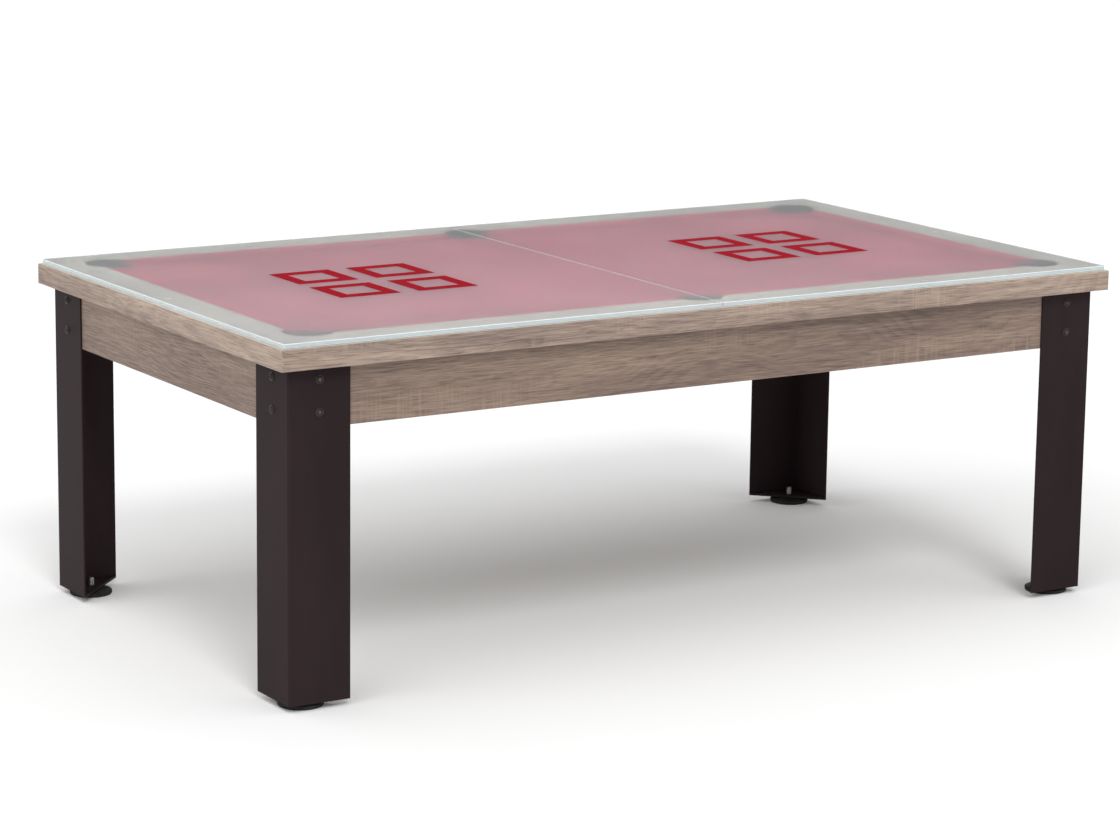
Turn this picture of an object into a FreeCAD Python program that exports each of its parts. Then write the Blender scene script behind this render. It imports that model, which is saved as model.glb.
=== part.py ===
import FreeCAD, Part
import math
import os

# Convertible pool table: a slate pool table on steel angle legs, with two glass halves that lift off.
# The origin is on the floor under the middle of the table, +X runs along the table to the right,
# +Y runs to the back and +Z runs up. All sizes are in millimetres.

# Rail band and the heights that stack up from the floor
TABLE_LENGTH = 2200.0
TABLE_WIDTH = 1250.0
FOOT_HEIGHT = 15.0
LEG_HEIGHT = 728.0
BAND_HEIGHT = 46.0
BAND_CORNER = 6.0
BAND_EDGE = 3.0
RAIL_WIDTH = 95.0
BED_DEPTH = 40.0

# Slate and cloth
SLATE = 20.0
SLATE_GAP = 13.0
CLOTH = 1.0

# Cushions: depth from the wood to the nose, heights from the bed, and the shape of the section
CUSHION_DEPTH = 55.0
CUSHION_DROP = 1.5
CUSHION_FLAT = 36.0
NOSE_HEIGHT = 36.8
NOSE_FACE = 4.0
NOSE_ROUND = 2.0
CUSHION_SOLE = 14.0
CUSHION_LIFT = 5.0

# Pockets: ball way, liner, cup and the jaws of the cushions beside them
POCKET_RADIUS = 52.0
LINER_WALL = 3.0
LINER_FIT = 0.2
LINER_DROP = 1.0
LINER_ROUND = 1.4
CUP_DEPTH = 100.0
CUP_TAPER = 5.0
CUP_FLOOR = 4.0
CUP_FLANGE = 7.0
CUP_FLANGE_THICK = 3.0
CUP_CHAMFER = 9.0
SIDE_CUP_GAP = 1.0
CORNER_CUP_GAP = 19.0
CORNER_JAW_GAP = 2.8
SIDE_JAW_GAP = 5.0
SIDE_JAW_FLARE = 5.0

# Apron boards and the slate's bearers inside them
APRON_HEIGHT = 132.0
APRON_BOARD = 19.0
LEDGER_WIDTH = 45.0
LEDGER_HEIGHT = 60.0
LEDGER_GAP = 8.0
BEAM_WIDTH = 50.0
BEAM_HEIGHT = 90.0
INNER_BEAM_SETBACK = 170.0
OUTER_BEAM_SETBACK = 200.0
CORNER_BLOCK = 55.0
CORNER_BLOCK_HEIGHT = 108.0

# Steel angle legs and their base plates
LEG_INSET = 29.0
LEG_FLANGE = 147.0
LEG_PLATE = 4.0
LEG_BEND = 6.0
BASE_PLATE = 6.0
WELD_RELIEF = 4.0

# Leg screws and the inserts that they turn into
SCREW_DROP = 28.0
SCREW_PITCH = 70.0
SCREW_SHANK = 8.0
SCREW_FLANGE = 20.0
SCREW_FLANGE_THICK = 1.6
SCREW_DOME = 14.0
SCREW_DOME_HEIGHT = 5.2
SCREW_CROWN = 2.0
SCREW_SOCKET = 5.0
SCREW_SOCKET_DEPTH = 2.6
SCREW_HOLE = 9.0
SCREW_TIP_GAP = 1.0
INSERT_DIAMETER = 13.0
INSERT_LENGTH = 15.0
THREAD_GAP = 0.1

# Rail bolts
BOLT_SHANK = 8.0
BOLT_HOLE = 9.0
BOLT_WASHER = 22.0
BOLT_WASHER_THICK = 2.0
BOLT_HEAD = 13.0
BOLT_HEAD_HEIGHT = 5.5
BOLT_BITE = 28.0
BOLT_SETBACK = 90.0
BOLT_SLATE_EDGE = 15.0

# Levelling feet: the pad slides out under the leg while its stud turns in the base plate
FOOT_OFFSET = 57.0
FOOT_RADIUS = 50.0
FOOT_RIM = 9.0
FOOT_CHAMFER = 2.0
FOOT_HUB = 17.0
FOOT_SHOULDER = 41.0
FOOT_SHOULDER_DROP = 2.0
FOOT_CLEARANCE = 0.5
SOCKET_FLOOR = 6.0
SOCKET_GAP = 0.3
STUD_DIAMETER = 16.0
STUD_PROUD = 18.0
STUD_CHAMFER = 2.5

# Glass halves and the clear pads under them
GLASS = 10.0
GLASS_INSET = 9.0
GLASS_SEAM = 1.6
GLASS_CORNER = 4.0
GLASS_ARRIS = 0.8
GLASS_PAD = 1.0
GLASS_PAD_RADIUS = 8.0
GLASS_PAD_INSET = 42.0
GLASS_PAD_SEAM = 110.0

# Heights worked out from the stack
band_bottom = FOOT_HEIGHT + LEG_HEIGHT
band_top = band_bottom + BAND_HEIGHT
bed_top = band_top - BED_DEPTH
slate_top = bed_top - CLOTH
slate_bottom = slate_top - SLATE
apron_bottom = band_bottom - APRON_HEIGHT
ledger_bottom = slate_bottom - LEDGER_HEIGHT
glass_bottom = band_top + GLASS_PAD

# Half sizes of each ring of the table, seen from above
half_length = TABLE_LENGTH / 2
half_width = TABLE_WIDTH / 2
leg_x = half_length - LEG_INSET
leg_y = half_width - LEG_INSET
apron_x = leg_x - LEG_PLATE
apron_y = leg_y - LEG_PLATE
frame_x = apron_x - APRON_BOARD
frame_y = apron_y - APRON_BOARD
slate_x = frame_x - SLATE_GAP
slate_y = frame_y - SLATE_GAP
wood_x = half_length - RAIL_WIDTH
wood_y = half_width - RAIL_WIDTH
nose_x = wood_x - CUSHION_DEPTH
nose_y = wood_y - CUSHION_DEPTH

# Pocket centres and radii
liner_radius = POCKET_RADIUS + LINER_WALL
cut_radius = liner_radius + LINER_FIT
flange_radius = liner_radius + CUP_FLANGE
corner_x = frame_x - CORNER_CUP_GAP - liner_radius
corner_y = frame_y - CORNER_CUP_GAP - liner_radius
side_y = frame_y - SIDE_CUP_GAP - liner_radius

# Bearers run between the pocket cups, and the rail bolts pass through the slate near its edge
ledger_start = flange_radius + LEDGER_GAP
ledger_end = corner_x - flange_radius - LEDGER_GAP
end_ledger_half = corner_y - flange_radius - LEDGER_GAP
bolt_x = slate_x - BOLT_SLATE_EDGE
bolt_y = slate_y - BOLT_SLATE_EDGE

foot_x = leg_x - FOOT_OFFSET
foot_y = leg_y - FOOT_OFFSET
inner_bend = LEG_BEND - LEG_PLATE

CORNERS = {"front_left": (-1, -1), "front_right": (1, -1), "back_left": (-1, 1), "back_right": (1, 1)}
ENDS = {"left": -1, "right": 1}
SIDES = {"front": -1, "back": 1}
OUT = 1.0


def vec(x, y, z=0.0):
    return FreeCAD.Vector(x, y, z)


UP = vec(0, 0, 1)


def block(x_range, y_range, z_range):
    """Square-edged block between pairs of coordinates."""
    size = [high - low for low, high in (x_range, y_range, z_range)]
    return Part.makeBox(*size, vec(x_range[0], y_range[0], z_range[0]))


def flat(a, b):
    """Outline point in plan."""
    return vec(a, b)


def upright(a, b):
    """Outline point in the X Z plane."""
    return vec(a, 0, b)


def across(a, b):
    """Outline point in the Y Z plane."""
    return vec(0, a, b)


def outline(corners, to_space):
    """Closed wire through (a, b) or (a, b, radius) corners, with a tangent arc where a radius is given."""
    points = [to_space(*corner[:2]) for corner in corners]
    radii = [corner[2] if len(corner) > 2 else 0.0 for corner in corners]
    starts, ends, arcs = [], [], []
    for i, point in enumerate(points):
        back = (points[i - 1] - point).normalize()
        ahead = (points[(i + 1) % len(points)] - point).normalize()
        half_angle = back.getAngle(ahead) / 2
        reach = radii[i] / math.tan(half_angle)
        starts.append(point + back * reach)
        ends.append(point + ahead * reach)
        middle = (back + ahead).normalize() * (radii[i] / math.sin(half_angle) - radii[i])
        arcs.append(Part.Arc(starts[i], point + middle, ends[i]).toShape() if radii[i] else None)
    edges = []
    for i, arc in enumerate(arcs):
        if arc:
            edges.append(arc)
        edges.append(Part.LineSegment(ends[i], starts[(i + 1) % len(points)]).toShape())
    return Part.Wire(edges)


def prism(corners, to_space, start, travel):
    """Outline moved to a start point and pushed along a travel vector."""
    face = Part.Face(outline(corners, to_space))
    face.translate(start)
    return face.extrude(travel)


def plate(corners, z_range):
    """Plan outline pushed up between two heights."""
    return prism(corners, flat, vec(0, 0, z_range[0]), vec(0, 0, z_range[1] - z_range[0]))


def turned(corners):
    """Profile of (radius, height) corners turned a full round about the upright axis."""
    return Part.Face(outline(corners, upright)).revolve(vec(0, 0), UP, 360)


def drum(radius, z_range, centre=(0.0, 0.0)):
    """Upright cylinder between two heights."""
    return Part.makeCylinder(radius, z_range[1] - z_range[0], vec(*centre, z_range[0]))


def inset(corners, distances):
    """Moves each edge of a straight outline inwards; edge i runs from corner i to the next corner."""
    count = len(corners)
    turn = sum(corners[i - 1][0] * corners[i][1] - corners[i][0] * corners[i - 1][1] for i in range(count))
    side = math.copysign(1.0, turn)
    lines = []
    for i, distance in enumerate(distances):
        (ax, ay), (bx, by) = corners[i][:2], corners[(i + 1) % count][:2]
        length = math.hypot(bx - ax, by - ay)
        normal = (-(by - ay) / length * side, (bx - ax) / length * side)
        lines.append((normal, normal[0] * ax + normal[1] * ay + distance))
    moved = []
    for i in range(count):
        (first, first_offset), (second, second_offset) = lines[i - 1], lines[i]
        cross = first[0] * second[1] - first[1] * second[0]
        a = (first_offset * second[1] - second_offset * first[1]) / cross
        b = (first[0] * second_offset - second[0] * first_offset) / cross
        moved.append((a, b))
    return moved


def in_quarter(shape, x_sign, y_sign):
    """Copy of a back right shape, mirrored into the quarter of the table with these signs."""
    if x_sign < 0:
        shape = shape.mirror(vec(0, 0), vec(1, 0))
    if y_sign < 0:
        shape = shape.mirror(vec(0, 0), vec(0, 1))
    return shape


def four_times(shape):
    """The four mirrored copies of a back right shape."""
    return [in_quarter(shape, *signs) for signs in CORNERS.values()]


def pointing(shape, point, direction):
    """Shape modelled along the upright axis, set at a point and turned to a direction."""
    placed = shape.copy()
    placed.Placement = FreeCAD.Placement(point, FreeCAD.Rotation(UP, direction))
    return placed


# Pockets

def pocket_slot(reach, z_range):
    """Round-ended slot that opens along +Y, as deep as the heights given."""
    low, high = vec(-cut_radius, 0), vec(cut_radius, 0)
    far_low, far_high = low + vec(0, reach), high + vec(0, reach)
    edges = [
        Part.LineSegment(far_low, low).toShape(),
        Part.Arc(low, vec(0, -cut_radius), high).toShape(),
        Part.LineSegment(high, far_high).toShape(),
        Part.LineSegment(far_high, far_low).toShape(),
    ]
    face = Part.Face(Part.Wire(edges))
    face.translate(vec(0, 0, z_range[0]))
    return face.extrude(vec(0, 0, z_range[1] - z_range[0]))


def bed_slots(z_range):
    """Six slots that open the slate and its cloth at the pockets, out to the edge."""
    reach = TABLE_WIDTH / 2
    corner = pocket_slot(reach, z_range)
    corner.rotate(vec(0, 0), UP, -45)
    corner.translate(vec(corner_x, corner_y))
    side = pocket_slot(reach, z_range)
    side.translate(vec(0, side_y))
    return four_times(corner) + [side, in_quarter(side, 1, -1)]


def liner_sector(start, end):
    """Liner wall with a rounded lip, turned between two angles in degrees."""
    top = band_top - LINER_DROP
    corners = [
        (POCKET_RADIUS, slate_bottom),
        (liner_radius, slate_bottom),
        (liner_radius, top),
        (POCKET_RADIUS, top, LINER_ROUND),
    ]
    face = Part.Face(outline(corners, upright))
    face.rotate(vec(0, 0), UP, start)
    return face.revolve(vec(0, 0), UP, end - start)


def corner_liner():
    """Liner of the back right corner pocket, round the cut in the two rails."""
    start = -math.degrees(math.acos((wood_x - corner_x) / liner_radius))
    end = 180 - math.degrees(math.asin((wood_y - corner_y) / liner_radius))
    liner = liner_sector(start, end)
    liner.translate(vec(corner_x, corner_y))
    return liner


def side_liner():
    """Liner of the back middle pocket."""
    start = math.degrees(math.asin((wood_y - side_y) / liner_radius))
    liner = liner_sector(start, 180 - start)
    liner.translate(vec(0, side_y))
    return liner


def pocket_cup(centre):
    """Drop cup with a flange under the slate, trimmed where it meets the aprons."""
    bottom = slate_bottom - CUP_DEPTH
    corners = [
        (POCKET_RADIUS, slate_bottom),
        (flange_radius, slate_bottom),
        (flange_radius, slate_bottom - CUP_FLANGE_THICK),
        (liner_radius, slate_bottom - CUP_FLANGE_THICK),
        (liner_radius - CUP_TAPER, bottom + CUP_CHAMFER),
        (liner_radius - CUP_TAPER - CUP_CHAMFER, bottom),
        (0, bottom),
        (0, bottom + CUP_FLOOR),
        (POCKET_RADIUS - CUP_TAPER - CUP_CHAMFER, bottom + CUP_FLOOR),
        (POCKET_RADIUS - CUP_TAPER, bottom + CUP_FLOOR + CUP_CHAMFER),
    ]
    cup = turned(corners)
    cup.translate(vec(*centre))
    room_x, room_y = frame_x - SIDE_CUP_GAP / 2, frame_y - SIDE_CUP_GAP / 2
    room = block((-room_x, room_x), (-room_y, room_y), (bottom - OUT, slate_bottom + OUT))
    return cup.common(room)


# Bed, rails and cushions

def bolt_places():
    """Rail bolts in the back right quarter."""
    along = (ledger_start + BOLT_SETBACK, ledger_end - BOLT_SETBACK)
    return [(x, bolt_y) for x in along] + [(bolt_x, end_ledger_half - BOLT_SETBACK)]


def bolt_holes(diameter, z_range):
    """Holes for all rail bolts between two heights."""
    holes = []
    for place in bolt_places():
        holes += four_times(drum(diameter / 2, z_range, place))
    return holes


def bed_layer(z_range):
    """Slate or cloth: a sheet with six pocket slots and the rail bolts' holes."""
    sheet = block((-slate_x, slate_x), (-slate_y, slate_y), z_range)
    tool_range = (z_range[0] - OUT, z_range[1] + OUT)
    return sheet.cut(bed_slots(tool_range) + bolt_holes(BOLT_HOLE, tool_range))


def rail_ring():
    """All four rails in one, with round edges, the seat over the slate and the pocket cuts."""
    corners = [(x * half_length, y * half_width, BAND_CORNER) for x, y in ((1, 1), (-1, 1), (-1, -1), (1, -1))]
    ring = plate(corners, (band_bottom, band_top))
    rims = [edge for edge in ring.Edges if edge.BoundBox.ZLength < OUT and edge.BoundBox.ZMin > band_bottom]
    ring = ring.makeFillet(BAND_EDGE, rims)
    through = (band_bottom - OUT, band_top + OUT)
    field = block((-wood_x, wood_x), (-wood_y, wood_y), through)
    seat = block((-frame_x, frame_x), (-frame_y, frame_y), (band_bottom - OUT, bed_top))
    corner_cut = drum(cut_radius, through, (corner_x, corner_y))
    side_cut = drum(cut_radius, through, (0, side_y))
    cuts = [field, seat] + four_times(corner_cut) + [side_cut, in_quarter(side_cut, 1, -1)]
    bites = bolt_holes(BOLT_SHANK + 2 * THREAD_GAP, (bed_top - OUT, bed_top + BOLT_BITE + OUT))
    return ring.cut(cuts + bites)


def mitred_rails():
    """The ring cut along its mitres into front, back, left and right rails."""
    ring = rail_ring()
    reach = RAIL_WIDTH + OUT
    inner_x, inner_y = half_length - reach, half_width - reach
    outer_x, outer_y = half_length + OUT, half_width + OUT
    z_range = (band_bottom - OUT, band_top + OUT)
    rails = {}
    for name, sign in SIDES.items():
        corners = [(-inner_x, inner_y), (inner_x, inner_y), (outer_x, outer_y), (-outer_x, outer_y)]
        rails[name] = ring.common(in_quarter(plate(corners, z_range), 1, sign))
    for name, sign in ENDS.items():
        corners = [(inner_x, -inner_y), (inner_x, inner_y), (outer_x, outer_y), (outer_x, -outer_y)]
        rails[name] = ring.common(in_quarter(plate(corners, z_range), sign, 1))
    return rails


def cushion_section(skin):
    """Cushion section as (depth from the wood, height), drawn in by the skin except at the wood."""
    corners = [
        (0, bed_top + BED_DEPTH - CUSHION_DROP),
        (CUSHION_FLAT, bed_top + BED_DEPTH - CUSHION_DROP),
        (CUSHION_DEPTH, bed_top + NOSE_HEIGHT),
        (CUSHION_DEPTH, bed_top + NOSE_HEIGHT - NOSE_FACE),
        (CUSHION_SOLE, bed_top + CUSHION_LIFT),
        (0, bed_top + CUSHION_LIFT),
    ]
    moved = inset(corners, [skin] * 5 + [0.0])
    radii = (0.0, 0.0, NOSE_ROUND - skin, NOSE_ROUND - skin, 0.0, 0.0)
    return [(a, b, radius) for (a, b), radius in zip(moved, radii)]


def long_cushion(skin):
    """Back right cushion, between the middle pocket's jaw and the corner pocket's jaw."""
    jaw = (liner_radius + CORNER_JAW_GAP) * math.sqrt(2) - corner_x + corner_y
    wood_end = liner_radius + SIDE_JAW_GAP
    corners = [
        (wood_end, wood_y),
        (wood_end + SIDE_JAW_FLARE, nose_y),
        (nose_y - jaw, nose_y),
        (wood_y - jaw, wood_y),
    ]
    plan = plate(inset(corners, (skin, 0.0, skin, 0.0)), (bed_top, band_top))
    section = [(wood_y - depth, height, radius) for depth, height, radius in cushion_section(skin)]
    return prism(section, across, vec(0, 0), vec(half_length, 0)).common(plan)


def end_cushion(skin):
    """Right cushion, between the jaws of the two right corner pockets."""
    jaw = (liner_radius + CORNER_JAW_GAP) * math.sqrt(2) + corner_x - corner_y
    corners = [
        (wood_x, jaw - wood_x),
        (nose_x, jaw - nose_x),
        (nose_x, nose_x - jaw),
        (wood_x, wood_x - jaw),
    ]
    plan = plate(inset(corners, (skin, 0.0, skin, 0.0)), (bed_top, band_top))
    section = [(wood_x - depth, height, radius) for depth, height, radius in cushion_section(skin)]
    return prism(section, upright, vec(0, -half_width), vec(0, TABLE_WIDTH)).common(plan)


def cushions(skin):
    """All six cushions by name, drawn in by the skin."""
    placed = {name: in_quarter(long_cushion(skin), *signs) for name, signs in CORNERS.items()}
    placed.update({name: in_quarter(end_cushion(skin), sign, 1) for name, sign in ENDS.items()})
    return placed


# Frame inside the aprons

def screw_faces():
    """Leg screws of the back right leg: a point on the leg's outer face and the way that it faces."""
    middle = LEG_FLANGE / 2
    faces = []
    for level in range(2):
        height = band_bottom - SCREW_DROP - level * SCREW_PITCH
        faces.append((vec(leg_x - middle, leg_y, height), vec(0, 1)))
        faces.append((vec(leg_x, leg_y - middle, height), vec(1, 0)))
    return faces


def at_leg_screws(shape):
    """Copies of a shape, modelled with its head along +Z, at every leg screw."""
    placed = []
    for point, direction in screw_faces():
        placed += four_times(pointing(shape, point, direction))
    return placed


def apron_holes():
    """Stepped holes in the aprons: clear for the screws, wider from inside for the inserts."""
    depth = LEG_PLATE + APRON_BOARD
    clear = drum(SCREW_HOLE / 2, (-depth - OUT, OUT))
    seat = drum(INSERT_DIAMETER / 2, (-depth - OUT, INSERT_LENGTH - depth))
    return at_leg_screws(clear.fuse(seat))


def long_apron():
    """Back apron board, with its upright corners eased to sit in the legs' bends."""
    ease = inner_bend + BAND_EDGE
    corners = [(-apron_x, frame_y), (apron_x, frame_y), (apron_x, apron_y, ease), (-apron_x, apron_y, ease)]
    return plate(corners, (apron_bottom, band_bottom)).cut(apron_holes())


def end_apron():
    """Right apron board, between the long boards."""
    board = block((frame_x, apron_x), (-frame_y, frame_y), (apron_bottom, band_bottom))
    return board.cut(apron_holes())


def ledgers():
    """Bearers screwed inside the aprons under the slate's edge: four long ones and two end ones."""
    z_range = (ledger_bottom, slate_bottom)
    long_ledger = block((ledger_start, ledger_end), (frame_y - LEDGER_WIDTH, frame_y), z_range)
    end_ledger = block((frame_x - LEDGER_WIDTH, frame_x), (-end_ledger_half, end_ledger_half), z_range)
    holes = bolt_holes(BOLT_HOLE, (ledger_bottom - OUT, slate_bottom + OUT))
    long_set = [piece.cut(holes) for piece in four_times(long_ledger)]
    end_set = [in_quarter(end_ledger, sign, 1).cut(holes) for sign in ENDS.values()]
    return long_set, end_set


def cross_beam(centre):
    """Beam across the table under the slate, between the long ledgers."""
    reach = frame_y - LEDGER_WIDTH
    sides = (centre - BEAM_WIDTH / 2, centre + BEAM_WIDTH / 2)
    return block(sides, (-reach, reach), (slate_bottom - BEAM_HEIGHT, slate_bottom))


def corner_block():
    """Three-cornered glue block in the back right corner of the aprons."""
    corners = [(frame_x, frame_y), (frame_x - CORNER_BLOCK, frame_y), (frame_x, frame_y - CORNER_BLOCK)]
    return plate(corners, (slate_bottom - CORNER_BLOCK_HEIGHT, slate_bottom))


# Legs and feet

def leg():
    """Back right leg: bent steel angle, drilled for its screws."""
    tip_x, tip_y = leg_x - LEG_FLANGE, leg_y - LEG_FLANGE
    corners = [
        (leg_x, leg_y, LEG_BEND),
        (tip_x, leg_y),
        (tip_x, apron_y),
        (apron_x, apron_y, inner_bend),
        (apron_x, tip_y),
        (leg_x, tip_y),
    ]
    angle = plate(corners, (FOOT_HEIGHT, band_bottom))
    hole = drum(SCREW_HOLE / 2, (-LEG_PLATE - OUT, OUT))
    return angle.cut([pointing(hole, *face) for face in screw_faces()])


def leg_base():
    """Three-cornered plate welded inside the foot of the back right leg, tapped for the stud."""
    relief = inner_bend + WELD_RELIEF
    corners = [
        (apron_x - relief, apron_y),
        (leg_x - LEG_FLANGE, apron_y),
        (apron_x, leg_y - LEG_FLANGE),
        (apron_x, apron_y - relief),
    ]
    base = plate(corners, (FOOT_HEIGHT, FOOT_HEIGHT + BASE_PLATE))
    tapped = drum(STUD_DIAMETER / 2 + THREAD_GAP, (0, FOOT_HEIGHT + BASE_PLATE + OUT), (foot_x, foot_y))
    return base.cut(tapped)


def foot_pad():
    """Round pad with a chamfered sole, a straight rim, a sloping top and a socket for the stud."""
    top = FOOT_HEIGHT - FOOT_CLEARANCE
    socket = STUD_DIAMETER / 2 + SOCKET_GAP
    corners = [
        (0, 0),
        (FOOT_RADIUS - FOOT_CHAMFER, 0),
        (FOOT_RADIUS, FOOT_CHAMFER),
        (FOOT_RADIUS, FOOT_RIM),
        (FOOT_SHOULDER, top - FOOT_SHOULDER_DROP),
        (FOOT_HUB, top),
        (socket, top),
        (socket, SOCKET_FLOOR),
        (0, SOCKET_FLOOR),
    ]
    pad = turned(corners)
    pad.translate(vec(foot_x, foot_y))
    return pad


def foot_stud():
    """Stud that turns in the base plate, with its foot in the pad's socket and a chamfered top."""
    top = FOOT_HEIGHT + BASE_PLATE + STUD_PROUD
    radius = STUD_DIAMETER / 2
    low = SOCKET_FLOOR + SOCKET_GAP
    stud = turned([
        (0, low),
        (radius, low),
        (radius, top - STUD_CHAMFER),
        (radius - STUD_CHAMFER, top),
        (0, top),
    ])
    stud.translate(vec(foot_x, foot_y))
    return stud


# Fasteners and glass

def hexagon(across_flats, z_range):
    """Upright hexagonal prism about the axis."""
    radius = across_flats / math.sqrt(3)
    corners = [(radius * math.cos(turn), radius * math.sin(turn)) for turn in
               (math.pi / 3 * i for i in range(6))]
    return plate(corners, z_range)


def leg_screw():
    """Flanged button-head screw along +Z, with the underside of its flange at zero."""
    shank = SCREW_SHANK / 2
    tip = SCREW_TIP_GAP - LEG_PLATE - APRON_BOARD
    flange = SCREW_FLANGE / 2
    dome = SCREW_DOME / 2
    screw = turned([
        (0, tip),
        (shank, tip),
        (shank, 0),
        (flange, 0),
        (flange, SCREW_FLANGE_THICK),
        (dome, SCREW_FLANGE_THICK),
        (dome - SCREW_CROWN, SCREW_DOME_HEIGHT),
        (0, SCREW_DOME_HEIGHT),
    ])
    floor = SCREW_DOME_HEIGHT - SCREW_SOCKET_DEPTH
    return screw.cut(hexagon(SCREW_SOCKET, (floor, SCREW_DOME_HEIGHT + OUT)))


def leg_insert():
    """Threaded insert along +Z, with its inner end at the inner face of the apron."""
    inner = -LEG_PLATE - APRON_BOARD
    z_range = (inner, inner + INSERT_LENGTH)
    sleeve = drum(INSERT_DIAMETER / 2, z_range)
    return sleeve.cut(drum(SCREW_SHANK / 2 + THREAD_GAP, (inner - OUT, OUT)))


def rail_bolts():
    """Bolts from under the ledgers, through the slate and into the rails."""
    bolt = drum(BOLT_SHANK / 2, (ledger_bottom, bed_top + BOLT_BITE))
    washer = drum(BOLT_WASHER / 2, (ledger_bottom - BOLT_WASHER_THICK, ledger_bottom))
    head_top = ledger_bottom - BOLT_WASHER_THICK
    bolt = bolt.fuse([washer, hexagon(BOLT_HEAD, (head_top - BOLT_HEAD_HEIGHT, head_top))])
    bolts = []
    for place in bolt_places():
        bolts += four_times(bolt.translated(vec(*place)))
    return bolts


def glass_half():
    """Right glass half with rounded outer corners and a polished arris on every edge."""
    near, far = GLASS_SEAM / 2, half_length - GLASS_INSET
    reach = half_width - GLASS_INSET
    corners = [(near, -reach), (far, -reach, GLASS_CORNER), (far, reach, GLASS_CORNER), (near, reach)]
    pane = plate(corners, (glass_bottom, glass_bottom + GLASS))
    rims = [edge for edge in pane.Edges if edge.BoundBox.ZLength < GLASS / 2]
    return pane.makeChamfer(GLASS_ARRIS, rims)


def glass_pads():
    """Clear pads on the rails that carry the glass."""
    pad = drum(GLASS_PAD_RADIUS, (band_top, glass_bottom))
    far = half_length - GLASS_PAD_INSET
    side = half_width - GLASS_PAD_INSET
    pads = []
    for x in (GLASS_PAD_SEAM, (GLASS_PAD_SEAM + far) / 2, far):
        pads += four_times(pad.translated(vec(x, side)))
    return pads + [pad.translated(vec(sign * far, 0)) for sign in ENDS.values()]


def table():
    """Every sub-part by name."""
    long_set, end_set = ledgers()
    rubbers = cushions(CLOTH)
    inner_beam, outer_beam = ledger_start + INNER_BEAM_SETBACK, ledger_end - OUTER_BEAM_SETBACK
    nodes = {
        "slate_bed": bed_layer((slate_bottom, slate_top)),
        "bed_cloth": bed_layer((slate_top, bed_top)),
        "ledgers_long": Part.Compound(long_set),
        "ledgers_end": Part.Compound(end_set),
        "corner_blocks": Part.Compound(four_times(corner_block())),
        "cushion_rubbers": Part.Compound(list(rubbers.values())),
        "rail_bolts": Part.Compound(rail_bolts()),
        "leg_screws": Part.Compound(at_leg_screws(leg_screw())),
        "leg_inserts": Part.Compound(at_leg_screws(leg_insert())),
        "glass_pads": Part.Compound(glass_pads()),
    }
    for name, rail in mitred_rails().items():
        nodes["rail_" + name] = rail
    for name, cover in cushions(0.0).items():
        nodes["cushion_" + name] = cover.cut(rubbers[name])
    for name, sign in SIDES.items():
        nodes["apron_" + name] = in_quarter(long_apron(), 1, sign)
        nodes["pocket_liner_" + name] = in_quarter(side_liner(), 1, sign)
        nodes["pocket_cup_" + name] = in_quarter(pocket_cup((0, side_y)), 1, sign)
    for name, sign in ENDS.items():
        nodes["apron_" + name] = in_quarter(end_apron(), sign, 1)
        nodes["glass_" + name] = in_quarter(glass_half(), sign, 1)
        nodes["cross_beam_inner_" + name] = cross_beam(sign * inner_beam)
        nodes["cross_beam_outer_" + name] = cross_beam(sign * outer_beam)
    quarter_pieces = {
        "pocket_liner_": corner_liner(),
        "pocket_cup_": pocket_cup((corner_x, corner_y)),
        "leg_": leg(),
        "leg_base_": leg_base(),
        "foot_pad_": foot_pad(),
        "foot_stud_": foot_stud(),
    }
    for prefix, shape in quarter_pieces.items():
        for name, signs in CORNERS.items():
            nodes[prefix + name] = in_quarter(shape, *signs)
    return nodes


os.makedirs("parts", exist_ok=True)
for node, shape in table().items():
    shape.exportStep("parts/" + node + ".step")
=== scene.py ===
"""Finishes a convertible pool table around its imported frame: glass, cloth, wood, metal and plastic."""

import math

import bmesh
import bpy
from bpy.props import FloatProperty, FloatVectorProperty, IntProperty, PointerProperty
from bpy.types import NodeSocket, Operator, Panel, PropertyGroup
from mathutils import Matrix, Vector


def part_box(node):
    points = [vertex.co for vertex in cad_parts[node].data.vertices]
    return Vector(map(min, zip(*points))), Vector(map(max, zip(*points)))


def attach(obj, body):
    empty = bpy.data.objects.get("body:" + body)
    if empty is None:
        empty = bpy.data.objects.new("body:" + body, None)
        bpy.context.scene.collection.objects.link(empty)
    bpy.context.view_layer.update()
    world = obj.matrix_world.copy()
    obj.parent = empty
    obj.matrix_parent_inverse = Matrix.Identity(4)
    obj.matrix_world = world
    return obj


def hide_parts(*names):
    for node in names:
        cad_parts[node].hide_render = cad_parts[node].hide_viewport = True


bl_info = {
    "name": "Convertible Pool Table",
    "version": (1, 0, 0),
    "blender": (4, 5, 0),
    "location": "View3D > Sidebar > Pool Table",
    "description": "Glass, cloth, wood and steel finishes for a pool table that is also a dining table",
    "category": "Object",
}

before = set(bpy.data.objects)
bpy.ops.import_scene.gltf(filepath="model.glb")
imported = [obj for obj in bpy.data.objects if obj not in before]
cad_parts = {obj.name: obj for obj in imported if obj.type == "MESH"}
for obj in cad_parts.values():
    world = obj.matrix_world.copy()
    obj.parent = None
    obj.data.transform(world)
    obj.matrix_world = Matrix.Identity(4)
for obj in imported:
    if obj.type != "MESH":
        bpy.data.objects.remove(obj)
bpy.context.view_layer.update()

MM = 0.001
TINY = 1e-6
UP = Vector((0, 0, 1))
ENDS = {"left": -1, "right": 1}
SIDES = {"front": -1, "back": 1}
CORNERS = {side + "_" + end: (ENDS[end], SIDES[side]) for side in SIDES for end in ENDS}
POCKETS = [*CORNERS, *SIDES]

# Least rise of the normal of a face that faces up
FACES_UP = 0.98

# Top of the bed and inner faces of the rails, read from the frame
BED_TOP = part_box("bed_cloth")[1].z
WOOD_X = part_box("cushion_right")[1].x
WOOD_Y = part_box("cushion_back_right")[1].y


# Sizes and colours that a user would change

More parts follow.
